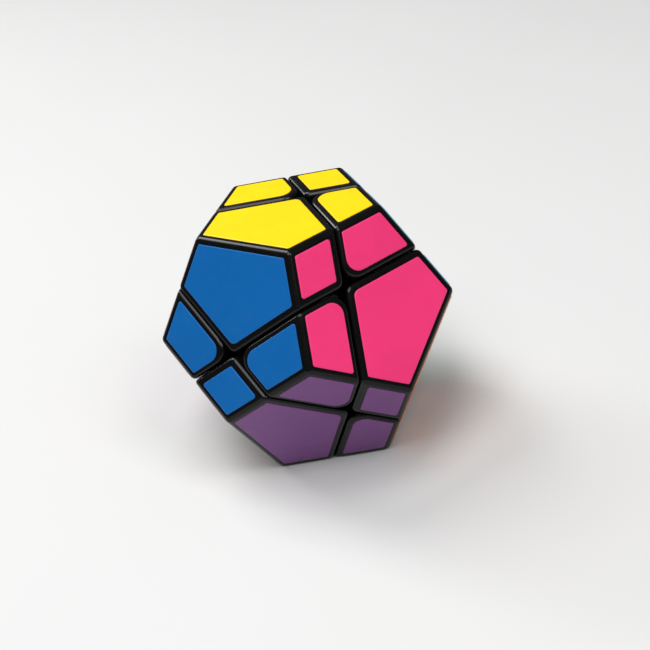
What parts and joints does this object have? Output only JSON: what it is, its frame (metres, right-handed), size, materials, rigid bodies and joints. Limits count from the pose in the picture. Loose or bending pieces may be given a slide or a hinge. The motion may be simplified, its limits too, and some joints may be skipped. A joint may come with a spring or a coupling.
{
  "type": "dodecahedron twisty puzzle",
  "caption": "Dodecahedron puzzle in black plastic with coloured tiles, cut in half by planes through its centre and turning about four corner axes.",
  "frame": {"origin": "the puzzle's centre, where the four turning axes meet", "axes": "+Z out of the yellow top face, so the puzzle rests on the white face opposite; the blue face next to the yellow one looks towards -Y and upwards"},
  "size_m": [0.0724, 0.0762, 0.0624],
  "materials": {
    "core_plastic": "moulded, satin, off-white",
    "screw_steel": "zinc plated steel",
    "washer_steel": "plain stamped steel",
    "spring_steel": "bright drawn spring wire",
    "base_plastic": "moulded black plastic, satin where it slides",
    "cap_plastic": "moulded black plastic, glossy",
    "tile_yellow": "thin solid-colour tile, semi-gloss",
    "tile_blue": "thin solid-colour tile, semi-gloss",
    "tile_hot_pink": "thin solid-colour tile, semi-gloss",
    "tile_purple": "thin solid-colour tile, semi-gloss",
    "tile_white": "thin solid-colour tile, semi-gloss",
    "tile_maroon": "thin solid-colour tile, semi-gloss",
    "tile_lilac": "thin solid-colour tile, semi-gloss",
    "tile_green": "thin solid-colour tile, semi-gloss",
    "tile_sky_blue": "thin solid-colour tile, semi-gloss",
    "tile_orange": "thin solid-colour tile, semi-gloss",
    "tile_lime": "thin solid-colour tile, semi-gloss",
    "tile_red": "thin solid-colour tile, semi-gloss"
  },
  "bodies": {
    "core": {"core": "core_plastic"},
    "screw_a": {"screw_a": "screw_steel", "washer_a": "washer_steel"},
    "screw_b": {"screw_b": "screw_steel", "washer_b": "washer_steel"},
    "screw_c": {"screw_c": "screw_steel", "washer_c": "washer_steel"},
    "screw_d": {"screw_d": "screw_steel", "washer_d": "washer_steel"},
    "fixed_a": {"fixed_base_a": "base_plastic", "fixed_cap_a": "cap_plastic", "fixed_tiles_a": "tile_purple", "spring_a": "spring_steel"},
    "fixed_b": {"fixed_base_b": "base_plastic", "fixed_cap_b": "cap_plastic", "fixed_tiles_b": "tile_maroon", "spring_b": "spring_steel"},
    "fixed_c": {"fixed_base_c": "base_plastic", "fixed_cap_c": "cap_plastic", "fixed_tiles_c": "tile_sky_blue", "spring_c": "spring_steel"},
    "fixed_d": {"fixed_base_d": "base_plastic", "fixed_cap_d": "cap_plastic", "fixed_tiles_d": "tile_red", "spring_d": "spring_steel"},
    "ridge_ad": {"ridge_base_ad": "base_plastic", "ridge_cap_ad": "cap_plastic", "ridge_tiles_ad": "tile_blue"},
    "ridge_bc": {"ridge_base_bc": "base_plastic", "ridge_cap_bc": "cap_plastic", "ridge_tiles_bc": "tile_white"},
    "ridge_ab": {"ridge_base_ab": "base_plastic", "ridge_cap_ab": "cap_plastic", "ridge_tiles_ab": "tile_purple"},
    "ridge_cd": {"ridge_base_cd": "base_plastic", "ridge_cap_cd": "cap_plastic", "ridge_tiles_cd": "tile_lime"},
    "ridge_ac": {"ridge_base_ac": "base_plastic", "ridge_cap_ac": "cap_plastic", "ridge_tiles_ac": "tile_hot_pink"},
    "ridge_bd": {"ridge_base_bd": "base_plastic", "ridge_cap_bd": "cap_plastic", "ridge_tiles_bd": "tile_lilac"},
    "loose_a": {"loose_base_a": "base_plastic", "loose_cap_a": "cap_plastic", "loose_tiles_a": "tile_green"},
    "loose_b": {"loose_base_b": "base_plastic", "loose_cap_b": "cap_plastic", "loose_tiles_b": "tile_yellow"},
    "loose_c": {"loose_base_c": "base_plastic", "loose_cap_c": "cap_plastic", "loose_tiles_c": "tile_blue"},
    "loose_d": {"loose_base_d": "base_plastic", "loose_cap_d": "cap_plastic", "loose_tiles_d": "tile_orange"}
  },
  "joints": [
    {"name": "twist_a", "type": "hinge", "parent": "core", "child": "fixed_a", "pos_m": [0, 0, 0], "axis": [0.5774, -0.7947, 0.1876], "range_deg": [-120, 240]},
    {"name": "twist_b", "type": "hinge", "parent": "core", "child": "fixed_b", "pos_m": [0, 0, 0], "axis": [-0.5774, -0.1876, -0.7947], "range_deg": [-120, 240]},
    {"name": "twist_c", "type": "hinge", "parent": "core", "child": "fixed_c", "pos_m": [0, 0, 0], "axis": [0.5774, 0.7947, -0.1876], "range_deg": [-120, 240]},
    {"name": "twist_d", "type": "hinge", "parent": "core", "child": "fixed_d", "pos_m": [0, 0, 0], "axis": [-0.5774, 0.1876, 0.7947], "range_deg": [-120, 240]},
    {"name": "tension_a", "type": "hinge", "parent": "core", "child": "screw_a", "pos_m": [0, 0, 0], "axis": [0.5774, -0.7947, 0.1876], "continuous": true},
    {"name": "tension_b", "type": "hinge", "parent": "core", "child": "screw_b", "pos_m": [0, 0, 0], "axis": [-0.5774, -0.1876, -0.7947], "continuous": true},
    {"name": "tension_c", "type": "hinge", "parent": "core", "child": "screw_c", "pos_m": [0, 0, 0], "axis": [0.5774, 0.7947, -0.1876], "continuous": true},
    {"name": "tension_d", "type": "hinge", "parent": "core", "child": "screw_d", "pos_m": [0, 0, 0], "axis": [-0.5774, 0.1876, 0.7947], "continuous": true},
    {"name": "ridge_ad_about_d", "type": "hinge", "parent": "fixed_a", "child": "ridge_ad", "pos_m": [0, 0, 0], "axis": [-0.5774, 0.1876, 0.7947], "range_deg": [-120, 240]},
    {"name": "ridge_bc_about_b", "type": "hinge", "parent": "fixed_c", "child": "ridge_bc", "pos_m": [0, 0, 0], "axis": [-0.5774, -0.1876, -0.7947], "range_deg": [-120, 240]},
    {"name": "ridge_ab_about_b", "type": "hinge", "parent": "fixed_a", "child": "ridge_ab", "pos_m": [0, 0, 0], "axis": [-0.5774, -0.1876, -0.7947], "range_deg": [-120, 240]},
    {"name": "ridge_cd_about_c", "type": "hinge", "parent": "fixed_d", "child": "ridge_cd", "pos_m": [0, 0, 0], "axis": [0.5774, 0.7947, -0.1876], "range_deg": [-120, 240]},
    {"name": "ridge_ac_about_c", "type": "hinge", "parent": "fixed_a", "child": "ridge_ac", "pos_m": [0, 0, 0], "axis": [0.5774, 0.7947, -0.1876], "range_deg": [-120, 240]},
    {"name": "ridge_bd_about_d", "type": "hinge", "parent": "fixed_b", "child": "ridge_bd", "pos_m": [0, 0, 0], "axis": [-0.5774, 0.1876, 0.7947], "range_deg": [-120, 240]},
    {"name": "loose_a_about_d", "type": "hinge", "parent": "ridge_bc", "child": "loose_a", "pos_m": [0, 0, 0], "axis": [-0.5774, 0.1876, 0.7947], "range_deg": [-120, 240]},
    {"name": "loose_b_about_d", "type": "hinge", "parent": "ridge_ac", "child": "loose_b", "pos_m": [0, 0, 0], "axis": [-0.5774, 0.1876, 0.7947], "range_deg": [-120, 240]},
    {"name": "loose_c_about_b", "type": "hinge", "parent": "ridge_ad", "child": "loose_c", "pos_m": [0, 0, 0], "axis": [-0.5774, -0.1876, -0.7947], "range_deg": [-120, 240]},
    {"name": "loose_d_about_c", "type": "hinge", "parent": "ridge_ab", "child": "loose_d", "pos_m": [0, 0, 0], "axis": [0.5774, 0.7947, -0.1876], "range_deg": [-120, 240]}
  ],
  "couplings": [
    {"joint": "ridge_ad_about_d", "follows": "twist_d", "ratio": 1},
    {"joint": "ridge_bc_about_b", "follows": "twist_b", "ratio": 1},
    {"joint": "ridge_ab_about_b", "follows": "twist_b", "ratio": 1},
    {"joint": "ridge_cd_about_c", "follows": "twist_c", "ratio": 1},
    {"joint": "ridge_ac_about_c", "follows": "twist_c", "ratio": 1},
    {"joint": "ridge_bd_about_d", "follows": "twist_d", "ratio": 1},
    {"joint": "loose_a_about_d", "follows": "twist_d", "ratio": 1},
    {"joint": "loose_b_about_d", "follows": "twist_d", "ratio": 1},
    {"joint": "loose_c_about_b", "follows": "twist_b", "ratio": 1},
    {"joint": "loose_d_about_c", "follows": "twist_c", "ratio": 1}
  ]
}
